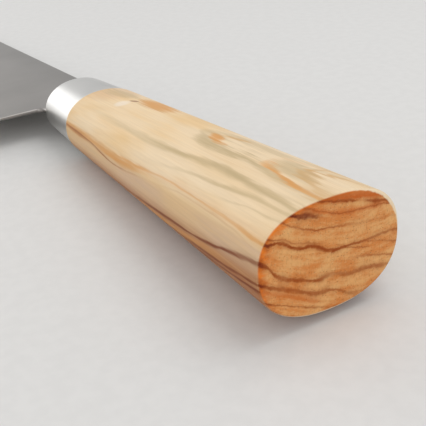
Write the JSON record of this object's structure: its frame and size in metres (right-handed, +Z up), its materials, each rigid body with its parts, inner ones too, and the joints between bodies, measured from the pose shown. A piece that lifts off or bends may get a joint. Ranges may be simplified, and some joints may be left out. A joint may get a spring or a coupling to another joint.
{
  "type": "kiritsuke knife",
  "caption": "Kitchen knife with a straight spine, clipped point, full flat grind, steel ferrule and oval olive-like wooden handle, lying on its side.",
  "frame": {"origin": "middle of the knife's bounding box seen from above, on the table on which it lies", "axes": "+X along the knife towards the tip, +Y across it towards the cutting edge, +Z up out of the blade's upper side; the knife leans 2.5 degrees towards its tip and 1 degree towards its spine, as it lies on the wood's shoulder, the ferrule's front edge and the corner of its tip"},
  "size_m": [0.3448, 0.0524, 0.0264],
  "materials": {
    "blade_steel": "fine satin stainless steel",
    "ferrule_steel": "soft polished stainless steel",
    "olive_wood": "smooth oiled wood with streaked grain",
    "epoxy": "cured epoxy, hidden inside the handle"
  },
  "bodies": {
    "root": {"blade": "blade_steel", "ferrule": "ferrule_steel", "handle": "olive_wood", "tang_adhesive": "epoxy"}
  },
  "joints": []
}
